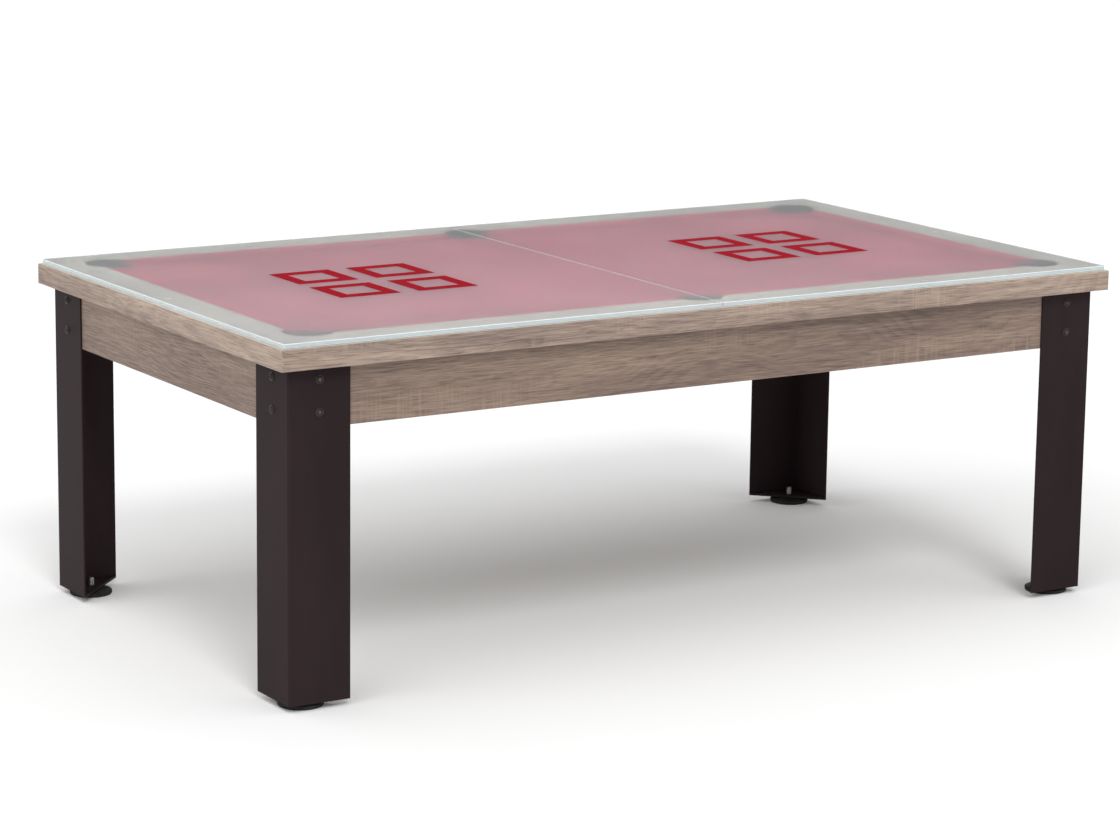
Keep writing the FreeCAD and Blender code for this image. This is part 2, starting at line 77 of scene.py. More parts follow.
def length(name, description, default):
    """A length setting in metres."""
    return FloatProperty(name=name, description=description, default=default, min=0, precision=4,
                         subtype="DISTANCE", unit="LENGTH")


def colour(name, description, default):
    """A linear colour setting."""
    return FloatVectorProperty(name=name, description=description, default=default, size=3, min=0, max=1,
                               subtype="COLOR")


def share(name, description, default):
    """A setting from 0 to 1."""
    return FloatProperty(name=name, description=description, default=default, min=0, max=1, subtype="FACTOR")


def power(name, description, default):
    """A setting for the strength of a lamp."""
    return FloatProperty(name=name, description=description, default=default, min=0)


class GlassSettings(PropertyGroup):
    """Panes and their print."""
    corner: length("Corner radius", "Radius of the outer corners of each pane", 4 * MM)
    arris: length("Arris", "Width of the ground arris along the outer edges", 1.2 * MM)
    seam_arris: length("Seam arris", "Width of the ground arris along the seam", 1.2 * MM)
    index: FloatProperty(name="Index", description="Refraction of the glass", default=1.45, min=1, max=2)
    frost: share("Frost", "Roughness of the frosted lower face", 0.62)
    gloss: share("Gloss", "Roughness of the upper face", 0.06)
    clearness: share("Clearness", "Share of light that passes through the frosted face", 0.95)
    haze: share("Haze", "Share of the frosted face that scatters what is seen through it", 0.55)
    cloud: share("Cloud", "Share of the frosted face that shows as white", 0.33)
    milk: colour("Milk", "Colour of the faces", (0.92, 0.955, 0.985))
    edge: colour("Edge", "Colour of the polished edges", (0.56, 0.66, 0.69))
    arris_white: colour("Arris white", "Colour of the ground arris", (0.84, 0.87, 0.88))
    print_red: colour("Print", "Colour of the printed outlines", (0.32, 0.003, 0.014))
    print_side: length("Print side", "Side of each printed square", 0.153)
    print_pitch: length("Print pitch", "Distance from one printed square to the next", 0.199)
    print_band: length("Print band", "Width of the printed outlines", 0.033)


class BoardSettings(PropertyGroup):
    """Rails, aprons and bearers."""
    rounding: length("Board edge", "Rounding of the laminated boards' edges", 0.8 * MM)
    brow: length("Brow", "Rounding of the rails' outer top edges", 2.5 * MM)
    oak_light: colour("Oak light", "Lightest streaks of the oak laminate", (0.451, 0.349, 0.270))
    oak_middle: colour("Oak middle", "Middle tone of the oak laminate", (0.293, 0.218, 0.175))
    oak_dark: colour("Oak dark", "Darkest streaks of the oak laminate", (0.136, 0.094, 0.080))
    top_light: colour("Top light", "Lightest streaks of the rails' pale tops", (0.70, 0.655, 0.575))
    top_middle: colour("Top middle", "Middle tone of the rails' pale tops", (0.60, 0.555, 0.485))
    top_dark: colour("Top dark", "Darkest streaks of the rails' pale tops", (0.43, 0.385, 0.33))
    # Darkens the aprons against the rails: painted shade under the overhanging rails, partly also a real
    # difference in tone between the boards
    apron_shade_tint: colour("Apron tint", "Tone of the aprons against the rails", (0.682, 0.637, 0.617))
    pine_light: colour("Timber light", "Light streaks of the bearers", (0.72, 0.55, 0.36))
    pine_middle: colour("Timber middle", "Middle tone of the bearers", (0.60, 0.43, 0.26))
    pine_dark: colour("Timber dark", "Dark streaks of the bearers", (0.40, 0.25, 0.13))


class ClothSettings(PropertyGroup):
    """Bed cloth and cushions."""
    # The bed cloth is set a little darker and less saturated than the cushion cloth: painted shade of the
    # bed lying lower under the glass
    bed: colour("Bed cloth", "Colour of the cloth on the slate", (0.56, 0.020, 0.105))
    cushion: colour("Cushion cloth", "Colour of the cloth on the cushions", (0.60, 0.018, 0.092))
    thickness: length("Cloth", "Thickness of the bed cloth", 0.8 * MM)
    turn_in: length("Turn-in", "Drop of the bed cloth over the slate in each pocket", 16 * MM)
    nose: length("Nose", "Rounding of the cushions' noses", 1.8 * MM)
    crest: length("Crest", "Rounding where a cushion's top begins to fall", 6 * MM)


class SteelSettings(PropertyGroup):
    """Legs and feet."""
    rounding: length("Plate edge", "Rounding of the plates' edges", 0.6 * MM)
    paint: colour("Paint", "Colour of the legs' powder coat", (0.0250, 0.0165, 0.0180))
    thread: length("Thread", "Pitch of the levelling studs", 2 * MM)
    ribs: IntProperty(name="Ribs", description="Ribs round the rim of each foot pad", default=60, min=12)
    rib_depth: length("Rib depth", "Depth between the ribs of each foot pad", 0.9 * MM)


class StageSettings(PropertyGroup):
    """Floor, light and camera."""
    key: power("Key", "Strength of the key light", 0.95)
    softness: FloatProperty(name="Softness", description="Angle that the key light spreads over",
                            default=math.radians(18), min=0, subtype="ANGLE", unit="ROTATION")
    side: power("Side light", "Strength of the soft light from the left", 0.75)
    overhead: share("Overhead", "Level of the surroundings overhead", 0.92)
    horizon: share("Horizon", "Level of the surroundings round the horizon", 0.30)
    glow: share("Glow", "Least level of the surroundings above the horizon", 0.58)
    floor_lift: share("Floor lift", "Light that the pale floor shows of itself", 0.03)
    lens: FloatProperty(name="Lens", description="Focal length of the camera", default=115.83, min=1,
                        subtype="DISTANCE_CAMERA", unit="CAMERA")


class TableSettings(PropertyGroup):
    """All settings of the table."""
    glass: PointerProperty(type=GlassSettings, name="Glass", description="Panes and print")
    boards: PointerProperty(type=BoardSettings, name="Boards", description="Rails, aprons and bearers")
    cloth: PointerProperty(type=ClothSettings, name="Cloth", description="Bed cloth and cushions")
    steel: PointerProperty(type=SteelSettings, name="Steel", description="Legs and feet")
    stage: PointerProperty(type=StageSettings, name="Stage", description="Floor, light and camera")


# Nodes of the finishes

# Parts of a noise's range over which tones and roughness change
TONE_SPAN = (0.35, 0.65)
ROUGH_SPAN = (0.3, 0.7)


def finish(name, **sockets):
    """A new material, its node tree and its shader, with constant values set on the shader's sockets."""
    material = bpy.data.materials.new(name)
    material.use_nodes = True
    shader = material.node_tree.nodes["Principled BSDF"]
    for socket, value in sockets.items():
        shader.inputs[socket.replace("_", " ")].default_value = value
    return material, material.node_tree, shader


def node(tree, kind, inputs, out=0, **settings):
    """A new node's output. Inputs are values or other outputs."""
    made = tree.nodes.new("ShaderNode" + kind)
    for key, value in settings.items():
        setattr(made, key, value)
    for key, value in inputs.items():
        if isinstance(value, NodeSocket):
            tree.links.new(value, made.inputs[key])
        else:
            made.inputs[key].default_value = value
    return made.outputs[out]


def spot(tree, scale=(1, 1, 1), turn=(0, 0, 0), shift=(0, 0, 0)):
    """Object coordinates, turned and moved, then stretched."""
    here = node(tree, "TexCoord", {}, "Object")
    placed = node(tree, "Mapping", {"Vector": here, "Rotation": turn, "Location": shift})
    return node(tree, "Mapping", {"Vector": placed, "Scale": scale})


def noise(tree, vector, detail=3.0, roughness=0.5, scale=1.0, distortion=0.0):
    """Noise from about 0.3 to 0.7."""
    return node(tree, "TexNoise", {"Vector": vector, "Scale": scale, "Detail": detail,
                                   "Roughness": roughness, "Distortion": distortion})


def level(tree, value, start, end, low=0.0, high=1.0):
    """A value's span from start to end, mapped to low and high."""
    inputs = {"Value": value, "From Min": start, "From Max": end, "To Min": low, "To Max": high}
    return node(tree, "MapRange", inputs)


def sums(tree, *parts):
    """The sum of outputs times weights."""
    total = 0.0
    for value, weight in parts:
        total = node(tree, "Math", {0: value, 1: weight, 2: total}, operation="MULTIPLY_ADD")
    return total


def ramp(tree, factor, *stops):
    """Colours at places along a factor."""
    made = tree.nodes.new("ShaderNodeValToRGB")
    points = made.color_ramp.elements
    while len(points) < len(stops):
        points.new(0.5)
    for point, (place, tone) in zip(points, stops):
        point.position = place
        point.color = (*tone, 1)
    tree.links.new(factor, made.inputs["Fac"])
    return made.outputs["Color"]


def tinted(tree, factor, tones, tint):
    """Tones that turn into one tint by a factor."""
    return node(tree, "Mix", {0: factor, 6: tones, 7: (*tint, 1)}, 2, data_type="RGBA")


def vary(tree, shader, factor, tones, rough, tone_span=TONE_SPAN, rough_span=ROUGH_SPAN):
    """Lets a shader's colour and roughness change with a factor."""
    tree.links.new(ramp(tree, factor, *zip(tone_span, tones)), shader.inputs["Base Color"])
    tree.links.new(level(tree, factor, *rough_span, *rough), shader.inputs["Roughness"])


def relief(tree, shader, height, depth, strength):
    """Small relief on a shader."""
    bump = node(tree, "Bump", {"Height": height, "Distance": depth, "Strength": strength})
    tree.links.new(bump, shader.inputs["Normal"])


def shades(tone, spread):
    """A colour made darker and lighter by a share."""
    return tuple(c * (1 - spread) for c in tone), tuple(min(1, c * (1 + spread)) for c in tone)


# Wood

LENGTHWAYS = {"X": (0, 0, 0), "Y": (0, 0, -math.pi / 2), "Z": (0, math.pi / 2, 0)}

# Growth rings: their width, the pith's rise along a board, how far they stray and how far a knot pushes them
RING = 8 * MM
TAPER = 0.03
SWAY = 16 * MM
WAVE = 110 * MM
SWIRL = 30 * MM

# Marks to a metre, along the grain and across it
SWAYS = (2.4, 9)
WAVES = (1.1, 4)
FIBRES = (12, 480)
STREAKS = (2.2, 120)
BANDS = (1.2, 15)
KNOTS = (2.2, 9)
PORES = (22, 480)
SAW_LINES = (210, 7)
SAW_PATCHES = (3.2, 9)

# Weights of fibres, streaks, bands and late wood, and the places of dark, middle and light in their sum
TONE_WEIGHTS = (0.50, 0.16, 0.34, -0.045)
TONE_STOPS = (0.34, 0.48, 0.62)

# Where each mark fades in or out, and how strongly knots and pores darken the wood
LATE_SPAN = (0.35, 1.0)
KNOT_REACH = 0.5
KNOT_SPAN = (0.03, 0.10)
PORE_SPAN = (0.56, 0.66)
SAW_LINE_SPAN = (0.48, 0.66)
SAW_PATCH_SPAN = (0.54, 0.68)
DARKNESS = 0.55


def wood(name, along, shift, tones, sawn):
    """Wood with its grain along an axis: rings, knots, fibres, pores and sawn patches."""
    material, tree, shader = finish(name)
    placed = spot(tree, turn=LENGTHWAYS[along], shift=shift)
    dark, _, light = tones

    def stretched(vector, marks):
        """A vector with so many marks to a metre."""
        lengthways, crossways = marks
        return node(tree, "Mapping", {"Vector": vector, "Scale": (lengthways, crossways, crossways)})

    def bent(vector, amount, marks):
        """A vector that strays across the grain."""
        place = stretched(placed, marks)
        stray = node(tree, "TexNoise", {"Vector": place, "Scale": 1.0, "Detail": 2.0}, "Color")
        stray = node(tree, "VectorMath", {0: stray, 1: (0.5, 0.5, 0.5)}, operation="SUBTRACT")
        push = {0: stray, 1: (0, amount, amount), 2: vector}
        return node(tree, "VectorMath", push, operation="MULTIPLY_ADD")

    swaying = bent(placed, SWAY, SWAYS)
    fine = noise(tree, stretched(swaying, FIBRES), detail=3, roughness=0.65)
    streak = noise(tree, stretched(swaying, STREAKS), detail=3, roughness=0.6)
    broad = noise(tree, stretched(swaying, BANDS), detail=2)
    knot = node(tree, "TexVoronoi", {"Vector": stretched(placed, KNOTS), "Scale": 1.0}, "Distance")
    wavy = bent(swaying, WAVE, WAVES)
    across = node(tree, "VectorMath", {0: wavy, 1: (0, 1, 1)}, operation="MULTIPLY")
    radius = node(tree, "VectorMath", {0: across}, "Value", operation="LENGTH")
    taper = node(tree, "VectorMath", {0: wavy, 1: (TAPER, 0, 0)}, "Value", operation="DOT_PRODUCT")
    swirl = level(tree, knot, 0, KNOT_REACH, SWIRL, 0)
    turns = sums(tree, (radius, 1 / RING), (taper, 1 / RING), (swirl, 1 / RING))
    late = level(tree, node(tree, "Math", {0: turns}, operation="FRACT"), *LATE_SPAN)
    tone = sums(tree, *zip((fine, streak, broad, late), TONE_WEIGHTS))
    body = ramp(tree, tone, *zip(TONE_STOPS, tones))
    body = tinted(tree, level(tree, knot, *KNOT_SPAN, DARKNESS, 0), body, dark)
    pores = level(tree, noise(tree, stretched(swaying, PORES), detail=2), *PORE_SPAN, 0, DARKNESS)
    body = tinted(tree, pores, body, dark)
    if sawn:
        lines = noise(tree, stretched(swaying, SAW_LINES), detail=2, roughness=0.6)
        lines = level(tree, lines, *SAW_LINE_SPAN, 0, sawn)
        patches = level(tree, noise(tree, stretched(swaying, SAW_PATCHES), detail=1), *SAW_PATCH_SPAN)
        body = tinted(tree, node(tree, "Math", {0: lines, 1: patches}, operation="MULTIPLY"), body, light)
    tree.links.new(body, shader.inputs["Base Color"])
    tree.links.new(level(tree, fine, *ROUGH_SPAN, 0.62, 0.46), shader.inputs["Roughness"])
    relief(tree, shader, sums(tree, (fine, 1.0), (pores, -0.8)), depth=0.2 * MM, strength=0.5)
    return material


# Other finishes

def pool_cloth(name, tone):
    """Napless woven cloth: threads both ways, faint cloudiness and a soft sheen."""
    material, tree, shader = finish(name, Sheen_Weight=0.25, Sheen_Roughness=0.45, Specular_IOR_Level=0.2,
                                    Sheen_Tint=(*shades(tone, 0.4)[1], 1))
    here = spot(tree)
    wave = {"Vector": here, "Scale": 420, "Distortion": 1.2, "Detail": 1}
    warp = node(tree, "TexWave", wave, "Fac", bands_direction="X")
    weft = node(tree, "TexWave", wave, "Fac", bands_direction="Y")
    threads = sums(tree, (warp, 0.5), (weft, 0.5))
    cloud = noise(tree, here, detail=4, roughness=0.6, scale=5)
    weave = sums(tree, (threads, 0.35), (cloud, 0.65))
    dark, light = shades(tone, 0.16)
    tree.links.new(ramp(tree, weave, (0.30, dark), (0.70, light)), shader.inputs["Base Color"])
    tree.links.new(level(tree, threads, 0, 1, 0.92, 0.78), shader.inputs["Roughness"])
    relief(tree, shader, threads, depth=0.08 * MM, strength=0.5)
    return material


def glass_face(name, settings, clearness, rough, haze, cloudiness):
    """A face of a pane, clear or acid-frosted, that lets lamplight through to what lies under it."""
    material, tree, shader = finish(name, IOR=settings.index, Transmission_Weight=1 - cloudiness)
    grain = noise(tree, spot(tree), detail=4, roughness=0.6, scale=420)
    cloud = noise(tree, spot(tree), detail=3, scale=2.5)
    tones = ramp(tree, cloud, *zip(TONE_SPAN, shades(settings.milk, 0.05)))
    tree.links.new(tones, shader.inputs["Base Color"])
    tree.links.new(level(tree, grain, *TONE_SPAN, rough * 0.9, rough * 1.1), shader.inputs["Roughness"])
    shadow = node(tree, "LightPath", {}, "Is Shadow Ray")
    tree.links.new(level(tree, shadow, 0, 1, haze, 1 - clearness), shader.inputs["Alpha"])
    return material


def glass_rim(name, tone, clearness):
    """Rim of thick glass, pale and a little cloudy."""
    material, tree, shader = finish(name, IOR=1.5, Transmission_Weight=clearness)
    streak = noise(tree, spot(tree, scale=(60, 60, 900)))
    vary(tree, shader, streak, shades(tone, 0.06), rough=(0.10, 0.22))
    return material


def red_print(name, tone):
    """Fired enamel print, with faint screen marks."""
    material, tree, shader = finish(name, Specular_IOR_Level=0.006)
    mottle = noise(tree, spot(tree), detail=4, roughness=0.6, scale=160)
    vary(tree, shader, mottle, shades(tone, 0.12), rough=(0.42, 0.56))
    return material


def powder_coat(name, tone):
    """Satin powder coat on steel: fine orange peel, faint clouding."""
    material, tree, shader = finish(name, Specular_IOR_Level=0.03)
    cloud = noise(tree, spot(tree, scale=(4, 4, 1.5)), detail=4, roughness=0.6)
    speck = noise(tree, spot(tree), roughness=0.6, scale=700)
    coat = sums(tree, (cloud, 0.7), (speck, 0.3))
    vary(tree, shader, coat, shades(tone, 0.18), rough=(0.34, 0.46), tone_span=(0.38, 0.62),
         rough_span=TONE_SPAN)
    relief(tree, shader, speck, depth=0.05 * MM, strength=0.35)
    return material


def black_oxide(name):
    """Oiled brown-black screws, worn a little paler in places."""
    material, tree, shader = finish(name, Specular_IOR_Level=0.16)
    wear = noise(tree, spot(tree), detail=5, roughness=0.65, scale=260)
    tones = (0.024, 0.018, 0.016), (0.052, 0.039, 0.034)
    vary(tree, shader, wear, tones, rough=(0.24, 0.40), tone_span=(0.40, 0.70))
    return material


def zinc(name, brightness=1.0):
    """Zinc plating with turning marks, bright or dulled."""
    material, tree, shader = finish(name, Metallic=1.0)
    marks = noise(tree, spot(tree, scale=(90, 90, 1400)), detail=4, roughness=0.6)
    tones = [[c * brightness for c in tone] for tone in ((0.36, 0.36, 0.37), (0.62, 0.62, 0.60))]
    vary(tree, shader, marks, tones, rough=(0.26, 0.46))
    return material


def moulded(name, tones, rough, pebbles, depth):
    """Moulded plastic or rubber with a pebbled grain and a little dust."""
    material, tree, shader = finish(name, Specular_IOR_Level=0.15)
    pebble = node(tree, "TexVoronoi", {"Vector": spot(tree), "Scale": pebbles}, "Distance")
    dust = noise(tree, spot(tree), detail=5, roughness=0.65, scale=38)
    vary(tree, shader, dust, tones, rough, tone_span=(0.38, 0.70))
    relief(tree, shader, pebble, depth, strength=0.4)
    return material


def slate_stone(name):
    """Honed slate with faint bedding."""
    material, tree, shader = finish(name)
    beds = noise(tree, spot(tree, scale=(2, 2, 60)), detail=6, roughness=0.65, distortion=0.5)
    tones = (0.070, 0.077, 0.083), (0.165, 0.172, 0.175)
    vary(tree, shader, beds, tones, rough=(0.66, 0.52), tone_span=(0.35, 0.68))
    relief(tree, shader, beds, depth=0.2 * MM, strength=0.4)
    return material


def clear_pad(name):
    """Milky soft pads under the glass."""
    material, tree, shader = finish(name, IOR=1.42)
    haze = noise(tree, spot(tree), scale=240)
    tones = (0.60, 0.58, 0.52), (0.72, 0.70, 0.64)
    vary(tree, shader, haze, tones, rough=(0.12, 0.26))
    return material


# Shapes

def bevel(bm, edges, width, segments):
    """Rounds edges."""
    bmesh.ops.bevel(bm, geom=edges, offset=width, offset_type="OFFSET", segments=segments, profile=0.5,
                    affect="EDGES", material=-1, clamp_overlap=True)


def sharp_edges(bm, limit=math.radians(35)):
    """Edges where two faces meet at an angle."""
    return [edge for edge in bm.edges if len(edge.link_faces) == 2 and edge.calc_face_angle(0) > limit]


def shade(bm, limit=math.radians(40)):
    """Smooth shading, with hard edges kept."""
    for face in bm.faces:
        face.smooth = True
    for edge in bm.edges:
        edge.smooth = len(edge.link_faces) == 2 and edge.calc_face_angle(0) < limit


def soften(bm, rounding):
    """Rounds every sharp edge and shades the whole."""
    bevel(bm, sharp_edges(bm), rounding, segments=2)
    shade(bm)


def outward(bm):
    """Merges doubles and turns every face outwards."""
    bmesh.ops.remove_doubles(bm, verts=bm.verts, dist=TINY)
    bmesh.ops.recalc_face_normals(bm, faces=bm.faces)


def merged_copy(name):
    """A frame node's geometry, with loose triangles joined into whole faces."""
    bm = bmesh.new()
    bm.from_mesh(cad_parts[name].data)
    bmesh.ops.remove_doubles(bm, verts=bm.verts, dist=2 * TINY)
    bmesh.ops.dissolve_limit(bm, angle_limit=math.radians(0.4), verts=bm.verts, edges=bm.edges)
    return bm


def add_copy(bm, mesh, place):
    """Adds a mesh at a place."""
    count = len(bm.verts)
    bm.from_mesh(mesh)
    bm.verts.ensure_lookup_table()
    bmesh.ops.transform(bm, matrix=place, verts=bm.verts[count:])


def draw_out(bm, geometry, way):
    """Moves the vertices among newly extruded geometry."""
    verts = [part for part in geometry if isinstance(part, bmesh.types.BMVert)]
    bmesh.ops.translate(bm, vec=way, verts=verts)


def edges_in(geometry):
    """The edges among some geometry."""
    return [part for part in geometry if isinstance(part, bmesh.types.BMEdge)]


def cut_off(bm, place, way):
    """Clears what lies beyond a plane, and returns the edges of the cut."""
    everything = bm.verts[:] + bm.edges[:] + bm.faces[:]
    cut = bmesh.ops.bisect_plane(bm, geom=everything, dist=TINY, plane_co=place, plane_no=way,
                                 clear_outer=True)
    return edges_in(cut["geom_cut"])


def swept(profile, angle, steps, rise=0.0, merge=False):
    """A profile of radius and height, swept round the upright axis with a rise at each step."""
    bm = bmesh.new()
    verts = [bm.verts.new((radius, 0, height)) for radius, height in profile]
    edges = [bm.edges.new(pair) for pair in zip(verts, verts[1:])]
    bmesh.ops.spin(bm, geom=verts + edges, axis=UP, cent=(0, 0, 0), dvec=(0, 0, rise), angle=angle,
                   steps=steps, use_merge=merge, use_normal_flip=False, use_duplicate=False)
    return bm


def turned(profile_mm, steps):
    """A round shape from a profile in millimetres."""
    profile = [(radius * MM, height * MM) for radius, height in profile_mm]
    bm = swept(profile, 2 * math.pi, steps, merge=True)
    outward(bm)
    return bm


# Objects

def mesh_from(name, bm):
    """A mesh of finished geometry."""
    mesh = bpy.data.meshes.new(name)
    bm.to_mesh(mesh)
    bm.free()
    return mesh


def added(name, data):
    """A new object in the scene."""
    made = bpy.data.objects.new(name, data)
    bpy.context.scene.collection.objects.link(made)
    return made


def piece(name, bm, body, slot, finishes, *replaced):
    """Makes the object, puts it on its body and hides the nodes that it stands for."""
    mesh = mesh_from(name, bm)
    for material in finishes:
        mesh.materials.append(material)
    made = added(name, mesh)
    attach(made, body)
    if replaced:
        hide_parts(*replaced)
    return made


def flatten(made):
    """Keeps broad faces flat in shading, and lets only their rounded edges turn."""
    weighted = made.modifiers.new("broad faces", "WEIGHTED_NORMAL")
    weighted.keep_sharp = True


def paint_nodes(material, *nodes):
    """Gives frame nodes that stay in view a finish."""
    for name in nodes:
        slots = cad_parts[name].data.materials
        slots.clear()
        slots.append(material)


# Operators

class POOLTABLE_OT_glass_tops(Operator):
    """Two frosted panes with polished edges and a ground arris"""
    bl_idname = "pool_table.glass_tops"
    bl_label = "Glass Halves"

    UPPER, LOWER, EDGE, ARRIS = range(4)
    UPPER_CLEARNESS = 0.99
    EDGE_CLEARNESS = 0.35
    UPRIGHT = 0.1

    def finishes(self, settings):
        """The finishes of a pane, in the order of their numbers."""
        return [glass_face("clear_upper_face", settings, self.UPPER_CLEARNESS, settings.gloss, 1, 0),
                glass_face("frosted_lower_face", settings, settings.clearness, settings.frost, settings.haze,
                           settings.cloud),
                glass_rim("polished_glass_edge", settings.edge, self.EDGE_CLEARNESS),
                glass_rim("ground_arris", settings.arris_white, 0)]

    def number(self, height):
        """Which finish a face gets, by how far its normal rises."""
        if abs(height) < self.UPRIGHT:
            return self.EDGE
        if abs(height) < FACES_UP:
            return self.ARRIS
        return self.UPPER if height > 0 else self.LOWER

    def rims(self, bm, low, high, inner, at_seam):
        """Upper and lower edges of a pane, along the seam or along its other sides."""
        flat = [edge for edge in bm.edges if any(
            all(abs(v.co.z - z) < TINY for v in edge.verts) for z in (low.z, high.z))]
        return [edge for edge in flat if all(abs(v.co.x - inner) < TINY for v in edge.verts) == at_seam]

    def execute(self, context):
        settings = context.scene.pool_table.glass
        finishes = self.finishes(settings)
        for end in ENDS:
            name = "glass_" + end
            low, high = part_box(name)
            inner, outer = sorted((low.x, high.x), key=abs)
            bm = bmesh.new()
            bmesh.ops.create_cube(bm, size=1)
            bmesh.ops.scale(bm, vec=high - low, verts=bm.verts)
            bmesh.ops.translate(bm, vec=(low + high) / 2, verts=bm.verts)
            corners = [edge for edge in bm.edges if all(abs(v.co.x - outer) < TINY for v in edge.verts)
                       and abs(edge.verts[0].co.z - edge.verts[1].co.z) > TINY]
            bevel(bm, corners, settings.corner, segments=6)
            for at_seam, width in ((False, settings.arris), (True, settings.seam_arris)):
                bevel(bm, self.rims(bm, low, high, inner, at_seam), width, segments=2)
            for face in bm.faces:
                face.material_index = self.number(face.normal.z)
            shade(bm, limit=math.radians(25))
            flatten(piece("glass_half_" + end, bm, name, "frosted_glass", finishes, name))
        return {"FINISHED"}


class POOLTABLE_OT_glass_prints(Operator):
    """Four plain square outlines printed on each pane"""
    bl_idname = "pool_table.glass_prints"
    bl_label = "Prints on the Glass"

    THICKNESS = 0.12 * MM
    LIFT = 0.03 * MM
    SQUARE_ON = Matrix.Rotation(math.pi / 4, 4, "Z")

    def execute(self, context):
        settings = context.scene.pool_table.glass
        enamel = red_print("red_enamel_print", settings.print_red)
        half = settings.print_pitch / 2
        for end in ENDS:
            low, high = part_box("glass_" + end)
            middle = Vector(((low.x + high.x) / 2, 0, high.z + self.LIFT))
            bm = bmesh.new()
            for x, y in CORNERS.values():
                place = Matrix.Translation(middle + Vector((x * half, y * half, 0))) @ self.SQUARE_ON
                loops = []
                for side in (settings.print_side, settings.print_side - 2 * settings.print_band):
                    square = bmesh.ops.create_circle(bm, cap_ends=False, segments=4, matrix=place,
                                                     radius=side / math.sqrt(2))
                    loops += {edge for vert in square["verts"] for edge in vert.link_edges}
                bmesh.ops.bridge_loops(bm, edges=loops)
            raised = bmesh.ops.extrude_face_region(bm, geom=bm.faces[:])["geom"]
            draw_out(bm, raised, (0, 0, self.THICKNESS))
            outward(bm)
            piece("glass_print_" + end, bm, "glass_" + end, "frosted_glass", [enamel])
        return {"FINISHED"}


class POOLTABLE_OT_bed_cloth(Operator):
    """Cloth stretched over the slate and turned down into the pockets"""
    bl_idname = "pool_table.bed_cloth"
    bl_label = "Bed Cloth"

    def execute(self, context):
        settings = context.scene.pool_table.cloth
        # The bed colour holds painted shade: it is darker than the cushion cloth
        weave = pool_cloth("bed_cloth_weave", settings.bed)
        bm = merged_copy("bed_cloth")
        bmesh.ops.delete(bm, geom=[face for face in bm.faces if face.normal.z < FACES_UP], context="FACES")
        lips = [edge for edge in bm.edges if edge.is_boundary and all(
            abs(v.co.x) < WOOD_X - TINY and abs(v.co.y) < WOOD_Y - TINY for v in edge.verts)]
        dropped = bmesh.ops.extrude_edge_only(bm, edges=lips)["geom"]
        draw_out(bm, dropped, (0, 0, -settings.turn_in))
        area = sum(face.calc_area() for face in bm.faces)
        bmesh.ops.recalc_face_normals(bm, faces=bm.faces)
        if sum(face.normal.z * face.calc_area() for face in bm.faces) < 0:
            bmesh.ops.reverse_faces(bm, faces=bm.faces)
        shade(bm)
        cloth = piece("bed_cloth_sheet", bm, "table", "bed_cloth", [weave], "bed_cloth")
        wall = cloth.modifiers.new("cloth thickness", "SOLIDIFY")
        wall.thickness = settings.thickness
        wall.offset = -1
        return {"FINISHED"}


